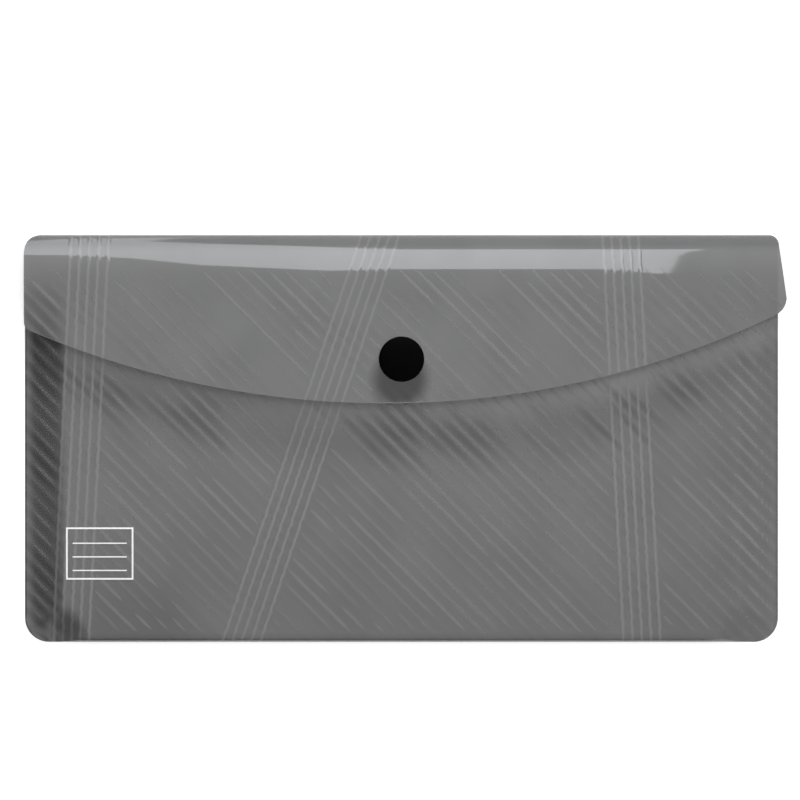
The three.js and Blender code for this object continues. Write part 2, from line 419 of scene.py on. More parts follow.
def edge_white_and_highlight(x):
    strength = cut_whiteness
    for middle, reach, most in edge_highlight_places:
        fade = ease((abs(x - middle) / reach - cut_full) / (1 - cut_full))
        strength = max(strength, most * (1 - fade))
    return strength


print("whiteness below the stud", edge_white_and_highlight(0), "and between", edge_white_and_highlight(side / 2))

# %% Places on the flap
under_rows = 16
over_rows = 32
fold_rows = under_rows + over_rows
flat_rows = 84
edge_passes = 3
lines_rise_within = 1 / 3


def flap_place(column, row):
    """A column slants, so a row's place on it and the edge below it are found together, in a few passes."""
    if row <= fold_rows:
        return fold_place(column, row)
    down = (row - fold_rows) / flat_rows
    y = crease
    for _ in range(edge_passes):
        x = column_place(column, y, flap_left_limit(y), flap_right_limit(y), 1.0)
        y = crease + (flap_edge(x) - crease) * down
    x = column_place(column, y, flap_left_limit(y), flap_right_limit(y), 1.0)
    strength = crest_share(column)
    point = Vector((x, y, flap_height(x, y) + line_rise * strength))
    # On the cut edge the crest attribute carries its whiteness and its painted highlight
    if down == 1:
        strength = max(strength, edge_white_and_highlight(x))
    return point, strength


def fold_place(column, row):
    """A point of the soft fold; its lines rise on the way over, because the back is left flat."""
    under = row < under_rows
    turn = row / under_rows - 1 if under else (row - under_rows) / over_rows
    angle = turn * math.pi / 2
    y = crease + crease_reach * math.cos(angle)
    z = crease_z + crease_z * math.sin(angle)
    right = side - shoulder(y, right_shoulder) if under else flap_right_limit(y)
    waver = 0.0 if under else ease(turn * 2)
    x = column_place(column, y, flap_left_limit(y), right, waver)
    lift = line_rise * ease(turn / lines_rise_within) * crest_share(column)
    out = Vector((0, math.cos(angle) / crease_reach, math.sin(angle) / crease_z)).normalized()
    return Vector((x, y, z)) + out * lift, crest_share(column)


print("last point of the flap", flap_place(columns[-1], fold_rows + flat_rows)[0])

# %% Flap film
flap_film = finished(laid_grid(fold_rows + flat_rows, flap_place), "flap_film")
give_thickness(flap_film, film)
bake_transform(flap_film)
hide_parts("back_crease", "flap_crease", "flap_panel")
print("flap film", len(flap_film.data.polygons), "faces")

# %% [markdown]
# ## Where the slanting lines run
# Short lines at 45 degrees fill the fields, in rows just under 4 mm apart, and stop at the bands.
# Where each begins and ends is drawn from a seeded random list, so every run gives the same sheet.
# None comes close to an edge, and none crosses the painted shadow below the stud's cap.

# %% Places that a slanting line may cross
band_margin = 1.1 * MM
mouth_margin = 2 * MM
weld_margin = 2 * MM
fold_margin = 11 * MM
flap_side_margin = 1.5 * MM
flap_edge_margin = 0.8 * MM
# How far below the stud the painted shadow under the cap lies, and how far round it no slanting line runs
cap_shadow_drop = 7 * MM
cap_shadow_reach = 10 * MM


def in_band(x, y):
    for first in range(0, line_count, lines_in_band):
        low = line_place(first, y, 0.0) - band_margin
        high = line_place(first + lines_in_band - 1, y, 0.0) + band_margin
        if low < x < high:
            return True
    return False


def on_front(x, y):
    if not seam < y < mouth - mouth_margin:
        return False
    return edge_distance(x, y) > weld_margin and not in_band(x, y)


def on_flap(x, y):
    if y >= fold - fold_margin or math.hypot(x, y - stud_y + cap_shadow_drop) < cap_shadow_reach:
        return False
    inside = -side + flap_side_margin < x < flap_right_limit(y) - flap_side_margin
    return inside and y > flap_edge(x) + flap_edge_margin and not in_band(x, y)


print("may cross the front's middle:", on_front(0, 0), "the dent:", on_flap(0, stud_y - cap_shadow_drop))

# %% [markdown]
# ## Runs of points along the slant
# The rows go across the whole sheet, a line's length, strength and slight bend are drawn at random,
# and each stretch of points on which a line may lie becomes a run of its own.

# %% Runs of the slanting lines
slant = math.radians(45)
# The rows' distance, how far the first is from the middle, and the distance of two points of a run
slant_pitch = 3.85 * MM
slant_phase = 0.55 * MM
slant_step = 1.5 * MM
slant_seed = 11
# Lengths, bends and gaps in millimetres, and the strengths that a line may have
run_lengths = (22, 95)
run_bends = (-0.2, 0.2)
run_gaps = (0.8, 7)
run_strengths = (0.42, 1.0)
fewest_points = 4
shown_on_front = 0.93
shown_on_flap = 0.84
along_slant = Vector((math.cos(slant), -math.sin(slant), 0))
across_slant = Vector((math.sin(slant), math.cos(slant), 0))


def slant_runs(allowed, chance, seed):
    """Each run is a list of points with its strength."""
    draw = random.Random(seed)
    reach = side + fold
    rows = int(reach / slant_pitch)
    runs = []
    for row in range(-rows, rows + 1):
        start = across_slant * (row * slant_pitch + slant_phase)
        place = -reach
        while place < reach:
            length = draw.uniform(*run_lengths) * MM
            shown = draw.random() < chance
            strength = draw.uniform(*run_strengths)
            bend = draw.uniform(*run_bends) * MM
            count = max(2, round(length / slant_step))
            run = []
            for i in range(count + 1):
                share = i / count
                sway = across_slant * bend * math.sin(math.pi * share)
                point = start + along_slant * (place + length * share) + sway
                if shown and allowed(point.x, point.y):
                    run.append(point)
                    continue
                runs.append((strength, run))
                run = []
            runs.append((strength, run))
            place += length + draw.uniform(*run_gaps) * MM
    return [(strength, run) for strength, run in runs if len(run) >= fewest_points]


front_runs = slant_runs(on_front, shown_on_front, slant_seed)
flap_runs = slant_runs(on_flap, shown_on_flap, slant_seed + 1)
print("slanting lines", len(front_runs), "on the front,", len(flap_runs), "on the flap")

# %% [markdown]
# ## The slanting lines as low ridges
# A ridge this low would need far too fine a grid in the sheet itself, so each line is a strip of its own.
# The strip is two faces wide, follows the sheet and tapers at its ends, and its underside is drawn down
# into the film, so that the strip is closed and no gap shows.

# %% Raise the slanting lines
slant_width = 1.15 * MM
slant_rise = 0.012 * MM
slant_sunk = 0.06 * MM
end_taper = 0.35
taper_step = 0.3
sharp_angle = math.radians(40)


def of_type(items, kind):
    return [item for item in items if isinstance(item, kind)]


def raised_lines(runs, height, name):
    mesh = bmesh.new()
    crest = mesh.verts.layers.float.new("crest")
    for strength, run in runs:
        last = len(run) - 1
        made = bmesh.ops.create_grid(mesh, x_segments=2, y_segments=last, size=1)
        for vertex in made["verts"]:
            row = grid_index(-vertex.co.y, last)
            foot = vertex.co.x
            taper = min(1.0, end_taper + taper_step * min(row, last - row))
            point = run[row] + across_slant * foot * taper * slant_width / 2
            lift = slant_rise * (1 - abs(foot)) * taper
            vertex.co = Vector((point.x, point.y, height(point.x, point.y) + lift))
            vertex[crest] = strength
    drawn = bmesh.ops.extrude_face_region(mesh, geom=list(mesh.faces))
    for vertex in of_type(drawn["geom"], bmesh.types.BMVert):
        vertex.co.z = height(vertex.co.x, vertex.co.y) - slant_sunk
    bmesh.ops.recalc_face_normals(mesh, faces=mesh.faces)
    for edge in mesh.edges:
        edge.smooth = edge.calc_face_angle(0.0) < sharp_angle
    return finished(mesh, name)


front_slants = raised_lines(front_runs, front_height, "front_slanting_lines")
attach(front_slants, "pocket")
flap_slants = raised_lines(flap_runs, flap_height, "flap_slanting_lines")
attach(flap_slants, "flap")
print("faces", len(front_slants.data.polygons), len(flap_slants.data.polygons))

# %% [markdown]
# ## The welded sides
# A hot blade cuts and fuses the two films in one stroke, which leaves a fine rounded bead along each side.
# The bead is swept: an ellipse is spun round the bottom corner and then drawn straight up to the mouth.
# It is made for the right side, and a negative scale turns it over for the left.

# %% Weld beads
bead_half_width = 0.55 * MM
bead_half_height = 0.31 * MM
bead_facets = 12
corner_steps = 14
bead_pulls = 24
bead_merge = 0.01 * MM


def weld_bead(name, node, hand):
    mesh = bmesh.new()
    bmesh.ops.create_circle(mesh, cap_ends=True, segments=bead_facets, radius=1)
    centre_x = side - corner_round
    centre_y = bottom + corner_round
    for vertex in mesh.verts:
        across, rise = vertex.co.x, vertex.co.y
        low_y = bottom + bead_half_width * (1 + across)
        vertex.co = Vector((centre_x, low_y, bead_half_height * (1 + rise)))
    outline = list(mesh.faces) + list(mesh.edges) + list(mesh.verts)
    centre = (centre_x, centre_y, 0)
    quarter = {"cent": centre, "axis": (0, 0, 1), "angle": math.pi / 2, "steps": corner_steps}
    turned_round = bmesh.ops.spin(mesh, geom=outline, **quarter)
    end = of_type(turned_round["geom_last"], bmesh.types.BMFace)
    pull = Vector((0, (mouth - centre_y) / bead_pulls, 0))
    for _ in range(bead_pulls):
        drawn = bmesh.ops.extrude_face_region(mesh, geom=end)
        bmesh.ops.translate(mesh, verts=of_type(drawn["geom"], bmesh.types.BMVert), vec=pull)
        end = of_type(drawn["geom"], bmesh.types.BMFace)
    bmesh.ops.scale(mesh, verts=mesh.verts, vec=(hand, 1, 1))
    bmesh.ops.remove_doubles(mesh, verts=mesh.verts, dist=bead_merge)
    bmesh.ops.recalc_face_normals(mesh, faces=mesh.faces)
    bead = finished(mesh, name)
    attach(bead, "pocket")
    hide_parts(node)
    return bead


left_bead = weld_bead("left_weld_bead", "left_weld", -1)
right_bead = weld_bead("right_weld_bead", "right_weld", 1)
print("bead faces", len(left_bead.data.polygons))

# %% [markdown]
# ## The press stud
# It has four mouldings: a cap outside the flap, a socket under it, a stud on the pocket and a cap inside.
# Each is round about one axis, so half a cross-section is spun a full turn.
# A narrow bevel takes the sharpness off every rim, as a mould does.

# %% A turned moulding
turn_steps = 96
turn_merge = 0.004 * MM
soft_width = 0.12 * MM
soft_segments = 3
soft_angle = math.radians(35)


def spun(name, profile, node, body):
    """profile is a list of (radius, height) points in metres; it ends on the axis or closes on itself."""
    mesh = bmesh.new()
    points = [mesh.verts.new((radius, stud_y, height)) for radius, height in profile]
    for one, following in zip(points, points[1:]):
        mesh.edges.new((one, following))
    if profile[0][0] > 0:
        mesh.edges.new((points[-1], points[0]))
    geometry = list(mesh.verts) + list(mesh.edges)
    axis = {"cent": (0, stud_y, 0), "axis": (0, 0, 1)}
    bmesh.ops.spin(mesh, geom=geometry, angle=2 * math.pi, steps=turn_steps, use_merge=True, **axis)
    bmesh.ops.remove_doubles(mesh, verts=mesh.verts, dist=turn_merge)
    bmesh.ops.recalc_face_normals(mesh, faces=mesh.faces)
    piece = finished(mesh, name)
    softening = piece.modifiers.new("moulded edges", "BEVEL")
    softening.width = soft_width
    softening.segments = soft_segments
    softening.limit_method = "ANGLE"
    softening.angle_limit = soft_angle
    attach(piece, body)
    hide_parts(node)
    return piece


print("turn steps", turn_steps)

# %% [markdown]
# ## The two caps
# A cap's face is a shallow dome with a soft edge, and its post is clenched behind the film.
# The same section serves both caps: it points outwards on the flap and inwards inside the pocket.

# %% Caps
dome_steps = 14
cap_radius = (cap_high.x - cap_low.x) / 2
cap_rise = cap_high.z - flap_top
cap_rim = 0.4 * MM
post_radius = 1.2 * MM
rivet_radius = 1.6 * MM
rivet_thickness = 0.3 * MM
ring_web = 0.7 * MM


def cap_profile(seat, out):
    """The section of a cap whose flat face is on the film at seat; out is 1 or -1."""
    dome = []
    for i in range(dome_steps + 1):
        angle = math.pi / 2 * i / dome_steps
        dome.append((cap_radius * math.sin(angle), cap_rim + (cap_rise - cap_rim) * math.cos(angle)))
    foot = -film - ring_web
    rest = [
        (cap_radius, 0),
        (post_radius, 0),
        (post_radius, foot),
        (rivet_radius, foot),
        (rivet_radius, foot - rivet_thickness),
        (0, foot - rivet_thickness),
    ]
    return [(radius, seat + out * height) for radius, height in dome + rest]


flap_cap = spun("flap_cap_moulding", cap_profile(flap_top, 1), "flap_cap", "flap")
pocket_cap = spun("pocket_cap_moulding", cap_profile(pocket_top - film, -1), "pocket_cap", "pocket")
print("cap radius", cap_radius, "rise", cap_rise)

# %% [markdown]
# ## The socket and the stud
# The stud has a bulb on a flat ring, and the socket's cavity has a lip just wide enough to pass over it.
# The photo hides both, so their sections follow a plain press stud.

# %% Socket and stud
socket_low, socket_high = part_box("flap_socket")
stud_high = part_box("pocket_stud")[1]
ring_radius = (socket_high.x - socket_low.x) / 2
post_clearance = 0.2 * MM
hole_radius = post_radius + post_clearance
lip_radius = 2.45 * MM
cavity_radius = 2.8 * MM
lip_height = 0.4 * MM
bulb_radius = 2.2 * MM
bulb_waist = 2.0 * MM
bulb_inside = 1.7 * MM
flap_low_face = flap_top - film
stud_face = pocket_top + ring_web
socket_profile = [
    (hole_radius, flap_low_face - ring_web),
    (cavity_radius, flap_low_face - ring_web),
    (cavity_radius, socket_low.z + lip_height + cavity_radius - lip_radius),
    (lip_radius, socket_low.z + lip_height),
    (lip_radius, socket_low.z),
    (ring_radius, socket_low.z),
    (ring_radius, flap_low_face),
    (hole_radius, flap_low_face),
]
flap_socket = spun("flap_socket_moulding", socket_profile, "flap_socket", "flap")
bulb_middle = (stud_face + stud_high.z) / 2
stud_profile = [
    (hole_radius, pocket_top),
    (ring_radius, pocket_top),
    (ring_radius, stud_face),
    (bulb_waist, stud_face),
    (bulb_radius, bulb_middle),
    (bulb_waist, stud_high.z),
    (bulb_inside, stud_high.z),
    (bulb_inside, stud_face),
    (hole_radius, stud_face),
]
pocket_stud = spun("pocket_stud_moulding", stud_profile, "pocket_stud", "pocket")
print("ring radius", ring_radius, "bulb's widest place at", bulb_middle)

# %% [markdown]
# ## The name field
# The lower left corner carries a white print: here a plain field to write on, framed and with three rules.
# The ink is a very thin layer on the film, so it is made as a low raised shape and laid on the front panel.

# %% Printed name field
field_left = -111.1 * MM
field_right = -88.8 * MM
field_top = -29.4 * MM
field_bottom = -46.7 * MM
frame_line = 0.55 * MM
rule_line = 0.4 * MM
rule_inset = 2.2 * MM
rule_count = 3
last_space = 0.6
ink = 0.06 * MM


def printed_bar(mesh, x_low, x_high, y_low, y_high):
    """One bar of ink, in faces of about a millimetre so that it follows the film."""
    across, up = (max(1, round(length / MM)) for length in (x_high - x_low, y_high - y_low))
    made = bmesh.ops.create_grid(mesh, x_segments=across, y_segments=up, size=1)
    for vertex in made["verts"]:
        x = x_low + (x_high - x_low) * (vertex.co.x + 1) / 2
        y = y_low + (y_high - y_low) * (vertex.co.y + 1) / 2
        vertex.co = Vector((x, y, front_height(x, y) + ink))


def name_field():
    mesh = bmesh.new()
    low, high = field_bottom + frame_line, field_top - frame_line
    printed_bar(mesh, field_left, field_right, high, field_top)
    printed_bar(mesh, field_left, field_right, field_bottom, low)
    printed_bar(mesh, field_left, field_left + frame_line, low, high)
    printed_bar(mesh, field_right - frame_line, field_right, low, high)
    for i in range(rule_count):
        y = high + (low - high) * (i + 1) / (rule_count + last_space)
        printed_bar(mesh, field_left + rule_inset, field_right - rule_inset, y - rule_line, y)
    drawn = bmesh.ops.extrude_face_region(mesh, geom=list(mesh.faces))
    sunk = of_type(drawn["geom"], bmesh.types.BMVert)
    bmesh.ops.translate(mesh, verts=sunk, vec=(0, 0, -2 * ink))
    bmesh.ops.recalc_face_normals(mesh, faces=mesh.faces)
    field = finished(mesh, "name_field", smooth=False)
    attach(field, "pocket")
    return field


name_print = name_field()
print("name field faces", len(name_print.data.polygons))

# %% [markdown]
# ## Colours and nodes
# One function turns a hex colour into the linear numbers that a shader wants, and one adds a node.
# What a node is set to is a dictionary, so the sums and soft steps that come often have a short name.

# %% Colour and node helpers
MATH = "ShaderNodeMath"
RANGE = "ShaderNodeMapRange"
NOISE = "ShaderNodeTexNoise"
BUMP = "ShaderNodeBump"
times, plus, minus, larger = ({"operation": name} for name in ("MULTIPLY", "ADD", "SUBTRACT", "MAXIMUM"))


def linear(code, alpha=1.0):
    channels = [int(code[i : i + 2], 16) / 255 for i in (1, 3, 5)]
    return tuple(c / 12.92 if c <= 0.04045 else ((c + 0.055) / 1.055) ** 2.4 for c in channels) + (alpha,)


def eased(start, end, low=0.0, high=1.0):
    """What a Map Range node is set to for a soft step: low before the start and high past the end."""
    ends = {"From Min": start, "From Max": end, "To Min": low, "To Max": high}
    return {"interpolation_type": "SMOOTHSTEP", **ends}


def add(tree, kind, settings=None, links=None):
    """Adds one node. Settings are its fields or inputs. Links feed its inputs: each is a number, an output
    of a node, or a node, which stands for its first output."""
    node = tree.nodes.new(kind)
    for key, value in (settings or {}).items():
        if isinstance(key, str) and hasattr(node, key):
            setattr(node, key, value)
        else:
            node.inputs[key].default_value = value
    for key, source in (links or {}).items():
        if isinstance(source, (int, float)):
            node.inputs[key].default_value = source
        else:
            output = source.outputs[0] if isinstance(source, bpy.types.Node) else source
            tree.links.new(output, node.inputs[key])
    return node


def new_material(name):
    material = bpy.data.materials.new(name)
    material.use_nodes = True
    material.node_tree.nodes.clear()
    return material, material.node_tree


print("mid grey in linear numbers", linear("#808080"))

# %% [markdown]
# ## Ripples along the slanting lines
# The pressing left the film faintly rippled between the slanting lines, and the ripples show in patches.
# A cosine across the slant gives the hollows, and a noise stretched along it says where they are strong.
# A second noise, with one number for each row, shifts the strokes, so that they don't all end in one line.

# %% Ripples
patch_long = 45 * MM
patch_wide = 14 * MM
patch_range = (0.4, 0.56)
jagged = 9 * MM


def slanting_ripple(tree, place):
    """How hollow each place is, how strong its patch is, and how far its row's stroke is shifted."""
    turn = {"Rotation": (0, 0, slant), "Location": (0, -slant_phase, 0)}
    turned = add(tree, "ShaderNodeMapping", turn, {"Vector": place})
    across = add(tree, "ShaderNodeSeparateXYZ", {}, {0: turned}).outputs["Y"]
    angle = add(tree, MATH, times, {0: across, 1: 2 * math.pi / slant_pitch})
    crest = add(tree, MATH, {"operation": "COSINE"}, {0: angle})
    hollow = add(tree, MATH, {"operation": "MULTIPLY_ADD"}, {0: crest, 1: -0.5, 2: 0.5})
    stretch = {"Scale": (1 / patch_long, 1 / patch_wide, 1 / patch_long)}
    stretched = add(tree, "ShaderNodeMapping", stretch, {"Vector": turned})
    noise = add(tree, NOISE, {"Scale": 1.0, "Detail": 1.0}, {"Vector": stretched})
    patch = add(tree, RANGE, eased(*patch_range), {"Value": noise.outputs["Fac"]})
    row = add(tree, MATH, times, {0: across, 1: 1 / slant_pitch})
    row_noise = add(tree, NOISE, {"noise_dimensions": "1D", "Scale": 1.0, "Detail": 0.0}, {"W": row})
    shift = add(tree, MATH, minus, {0: row_noise.outputs["Fac"], 1: 0.5})
    return hollow, patch, add(tree, MATH, times, {0: shift, 1: jagged})


print("patches", patch_long, "by", patch_wide)

# %% [markdown]
# ## Where the film is rippled, and where shade and light are painted on it
# The ripples are deepest below the flap's edge, round the stud and in the left margin, and there their
# hollows also get painted shade.
# The right field's hollows get painted shade alone, a soft painted shadow lies below the cap and painted
# shade below the name field, and a band of painted light lies just below the flap's edge.
# Each is a mask worked out from the place on the film, and nearly all of them leave the back side out.

# %% Soft masks
def between(tree, value, start, full, ease_off, end):
    """1 between full and ease_off, easing to 0 at the start and at the end."""
    rising = add(tree, RANGE, eased(start, full), {"Value": value})
    falling = add(tree, RANGE, eased(ease_off, end, 1.0, 0.0), {"Value": value})
    return add(tree, MATH, times, {0: rising, 1: falling})


def spot(tree, place, centre, full, end):
    """1 round a centre, easing to 0 at the end."""
    away = add(tree, "ShaderNodeVectorMath", {"operation": "DISTANCE", 1: centre}, {0: place})
    return add(tree, RANGE, eased(full, end, 1.0, 0.0), {"Value": away.outputs["Value"]})


print("a soft step is set to", eased(0, 1))

# %% Zones of the film
# Heights at which the front side begins, and at which the pocket ends and the flap begins
front_side = (0.3 * MM, 0.6 * MM)
pocket_side = (pocket_top + 1 * MM, pocket_top + 2 * MM)
# Below the flap's edge: where a zone begins, is full, eases off and ends
edge_zone = (1 * MM, 8 * MM, 13 * MM, 27 * MM)
# The second zone is a band of painted light just below the flap's edge
painted_light_zone = (-1.5 * MM, 0.5 * MM, 0.5 * MM, 12 * MM)
# From left to right: where the painted light below the flap's edge sets in and is full, and how much paler
# it makes the film there
painted_light_rise = (-75 * MM, 75 * MM)
painted_light_strength = (0.06, 0.7)
# Round spots: a centre, how far the spot is full and where it ends. Round the stud the ripples deepen and
# their hollows get painted shade; below the cap lies a painted shadow, and below the name field painted
# shade.
stud_spot = ((0, 6.5 * MM, pocket_top), 4 * MM, 14 * MM)
cap_shadow_spot = ((-0.5 * MM, stud_y - cap_shadow_drop, flap_top), 5.5 * MM, 12 * MM)
corner_shade_spot = ((-87 * MM, -61 * MM, pocket_top), 7 * MM, 26 * MM)
# From the sides: how far in the margin is full and ends, and where the right field begins and is full. The
# margin's ripples deepen and their hollows get painted shade; the right field's hollows get painted shade
# alone.
margin_zone = (9 * MM, 16 * MM)
margin_ripple_and_shade = 0.26
right_shade_zone = (30 * MM, 14 * MM)
# Towards the mouth the ripples die away
calm_zone = (mouth - 8 * MM, mouth + 2 * MM)


def ripple_and_shade_zones(tree, place, lag):
    """The masks by name; the flap's arc is drawn as a parabola, which is as good here."""
    parts = add(tree, "ShaderNodeSeparateXYZ", {}, {0: place})
    x, y, z = (parts.outputs[axis] for axis in "XYZ")
    from_middle = add(tree, MATH, plus, {0: x, 1: edge_shift})
    squared = add(tree, MATH, times, {0: from_middle, 1: from_middle})
    sag = add(tree, MATH, times, {0: squared, 1: 0.5 / edge_radius})
    edge_y = add(tree, MATH, plus, {0: sag, 1: flap_bottom})
    below = add(tree, MATH, minus, {0: edge_y, 1: y})
    shifted = add(tree, MATH, plus, {0: below, 1: lag})
    # How strong the painted light below the flap's edge is, rising from left to right
    paler = add(tree, RANGE, eased(*painted_light_rise, *painted_light_strength), {"Value": x})
    right_ends = (side - right_shade_zone[0], side - right_shade_zone[1])
    front = add(tree, RANGE, eased(*front_side), {"Value": z})
    under_flap = add(tree, RANGE, eased(*pocket_side, 1.0, 0.0), {"Value": z})
    pocket = add(tree, MATH, times, {0: front, 1: under_flap})
    masks = {
        "edge": (between(tree, shifted, *edge_zone), front),
        "stud": (spot(tree, place, *stud_spot), front),
        "black": (spot(tree, place, *cap_shadow_spot), front),
        "corner": (spot(tree, place, *corner_shade_spot), pocket),
        "painted_light": (add(tree, MATH, times, {0: between(tree, below, *painted_light_zone), 1: paler}), pocket),
        "right": (add(tree, RANGE, eased(*right_ends), {"Value": x}), pocket),
    }
    zone = {name: add(tree, MATH, times, {0: mask, 1: face}) for name, (mask, face) in masks.items()}
    margin_ends = (margin_zone[0] - side, margin_zone[1] - side)
    zone["margin"] = add(tree, RANGE, eased(*margin_ends, margin_ripple_and_shade, 0.0), {"Value": x})
    zone["calm"] = add(tree, RANGE, eased(*calm_zone, 1.0, 0.0), {"Value": y})
    return zone


print("edge zone", edge_zone, "stud spot", stud_spot)

# %% [markdown]
# ## How dark and how rippled the film is
# Two chains of sums turn the masks into what the shader needs: a tone, which is 1 where the film is plain,
# lower where shade is painted and higher where light is painted, and a normal, bent by the ripples and by
# the fine unevenness that cast film has everywhere.

# %% Tone of the film
# How much painted shade darkens the film: in any hollow, in the hollows below the flap's edge, and in the
# other zones
hollow_shade = 0.08
edge_shade = 0.4
dark_shades = {"stud": 0.7, "right": 0.19, "black": 0.9, "corner": 0.26}
# In the margin the painted shade of the strokes deepens with the patches
margin_shade_depth = (0.85, 1.55)
# Broad clouds make the grey and the gloss a few percent uneven
cloud_range = (0.3, 0.7)
uneven = (0.94, 1.06)


def film_tone(tree, zone, hollow, patch, cloud):
    dark = {name: add(tree, MATH, times, {0: zone[name], 1: shade}) for name, shade in dark_shades.items()}
    edge = add(tree, MATH, plus, {0: zone["edge"], 1: hollow_shade / edge_shade})
    strong_edge = add(tree, MATH, times, {0: edge, 1: patch})
    dark["edge"] = add(tree, MATH, times, {0: strong_edge, 1: edge_shade})
    depth = add(tree, RANGE, eased(0.0, 1.0, *margin_shade_depth), {"Value": patch})
    shaded = add(tree, MATH, times, {0: zone["margin"], 1: depth})
    strokes = [(larger, dark[name]) for name in ("edge", "stud", "right")]
    hollows = [(times, hollow), (times, zone["calm"])]
    spots = [(larger, dark[name]) for name in ("black", "corner")]
    for operation, value in strokes + hollows + spots:
        shaded = add(tree, MATH, operation, {0: shaded, 1: value})
    plain = add(tree, MATH, minus, {0: 1.0, 1: shaded})
    # The band of painted light below the flap's edge lifts the tone
    relit = add(tree, MATH, plus, {0: zone["painted_light"], 1: plain})
    cloudy = add(tree, RANGE, eased(*cloud_range, *uneven), {"Value": cloud})
    return add(tree, MATH, times, {0: cloudy, 1: relit})


print("deepest shades: edge", edge_shade, dark_shades)

# %% Relief of the film
ripple_depth = 0.14 * MM
ripple_rest = 0.12
peel_depth = 0.0015 * MM
peel_strength = 0.25


def film_relief(tree, zone, hollow, patch, grain):
    swell = add(tree, MATH, times, {0: zone["edge"], 1: patch})
    ripples = [(larger, zone["stud"]), (larger, zone["margin"]), (plus, ripple_rest)]
    hollows = [(times, hollow), (times, zone["calm"])]
    for operation, value in ripples + hollows:
        swell = add(tree, MATH, operation, {0: swell, 1: value})
    ripple = {"invert": True, "Strength": 1.0, "Distance": ripple_depth}
    rippled = add(tree, BUMP, ripple, {"Height": swell})
    peel = {"Strength": peel_strength, "Distance": peel_depth}
    return add(tree, BUMP, peel, {"Height": grain, "Normal": rippled})


print("ripple depth", ripple_depth, "depth of the fine unevenness", peel_depth)

# %% [markdown]
# ## Smoke-grey polypropylene film
# The film is cast polypropylene, tinted grey and translucent. Cast film has a very smooth glossy face,
# so it reflects sharply in bright bands at the folds, which the low roughness and the coat give.
# Light passes partly through each face, which a plain alpha gives, so what lies behind it shows through.
# Where a line is pressed in, the plastic is strained and paler, so the crest attribute mixes in pale grey;
# on the flap's cut edge the same mix gives the edge's whiteness and its painted highlight.
# The slanting lines have finishes of their own, duller and more open, because pressing roughens the face.

# %% Film materials
cloud_size = 22 * MM
grain_size = 0.9 * MM
film_grey = "#5f5f5f"
# The flap's grey is paler, painted light standing in for the light that the layers below it scatter back
flap_grey = "#646464"
pressed_grey = "#767676"
line_grey = "#797979"
film_alpha = 0.8
line_alpha = 0.6
film_roughness = 0.055
line_roughness = 0.2
film_ior = 1.49
coat = {"Coat Weight": 1.0, "Coat Roughness": 0.035, "Coat IOR": film_ior}


def film_material(name, base, pressed, alpha, roughness):
    material, tree = new_material(name)
    place = add(tree, "ShaderNodeTexCoord").outputs["Object"]
    cloud, grain = (
        add(tree, NOISE, {"Scale": 1 / size, "Detail": 2.0}, {"Vector": place}).outputs["Fac"]
        for size in (cloud_size, grain_size)
    )
    hollow, patch, lag = slanting_ripple(tree, place)
    zone = ripple_and_shade_zones(tree, place, lag)
    # The tone holds the painted shade and painted light of the zones
    tone = film_tone(tree, zone, hollow, patch, cloud)
    grey = {"operation": "SCALE", 0: linear(base)[:3]}
    plain = add(tree, "ShaderNodeVectorMath", grey, {"Scale": tone})
    crest = add(tree, "ShaderNodeAttribute", {"attribute_name": "crest"})
    strained = {"data_type": "RGBA", 7: linear(pressed)}
    colour = add(tree, "ShaderNodeMix", strained, {0: crest.outputs["Fac"], 6: plain})
    gloss = {"To Min": roughness * uneven[0], "To Max": roughness * uneven[1]}
    rough = add(tree, RANGE, gloss, {"Value": cloud})
    relief = film_relief(tree, zone, hollow, patch, grain)
    inputs = {"Base Color": colour.outputs[2], "Roughness": rough, "Normal": relief}
    shader = add(tree, "ShaderNodeBsdfPrincipled", {"IOR": film_ior, "Alpha": alpha, **coat}, inputs)
    add(tree, "ShaderNodeOutputMaterial", {}, {"Surface": shader})
    return material


print("film greys", film_grey, flap_grey, "alpha", film_alpha)

# %% Dress the film
pocket_finish = film_material("cast_film_pocket", film_grey, pressed_grey, film_alpha, film_roughness)
flap_finish = film_material("cast_film_flap", flap_grey, pressed_grey, film_alpha, film_roughness)
line_finish = film_material("pressed_film_lines", film_grey, line_grey, line_alpha, line_roughness)
flap_line_finish = film_material("pressed_flap_lines", flap_grey, line_grey, line_alpha, line_roughness)
for piece in (pocket_film, left_bead, right_bead):
    piece.data.materials.append(pocket_finish)
flap_film.data.materials.append(flap_finish)
front_slants.data.materials.append(line_finish)
flap_slants.data.materials.append(flap_line_finish)
print("film finishes", pocket_finish.name, flap_finish.name, line_finish.name, flap_line_finish.name)

# %% [markdown]
# ## Black moulded plastic
# The stud is injection-moulded acetal, dyed black: satin, with a fine even grain from the mould.
# Dyed this deep it gives back almost nothing but a faint wide sheen, so its specular level is very low.

# %% Stud material
stud_grain = 0.25 * MM
stud_cloud = 3 * MM
stud_darkest = "#010101"
stud_palest = "#030303"
stud_roughness = {"To Min": 0.32, "To Max": 0.5}
stud_relief = {"Strength": 0.3, "Distance": 0.01 * MM}
stud_sheen = {"IOR": 1.48, "Specular IOR Level": 0.02}


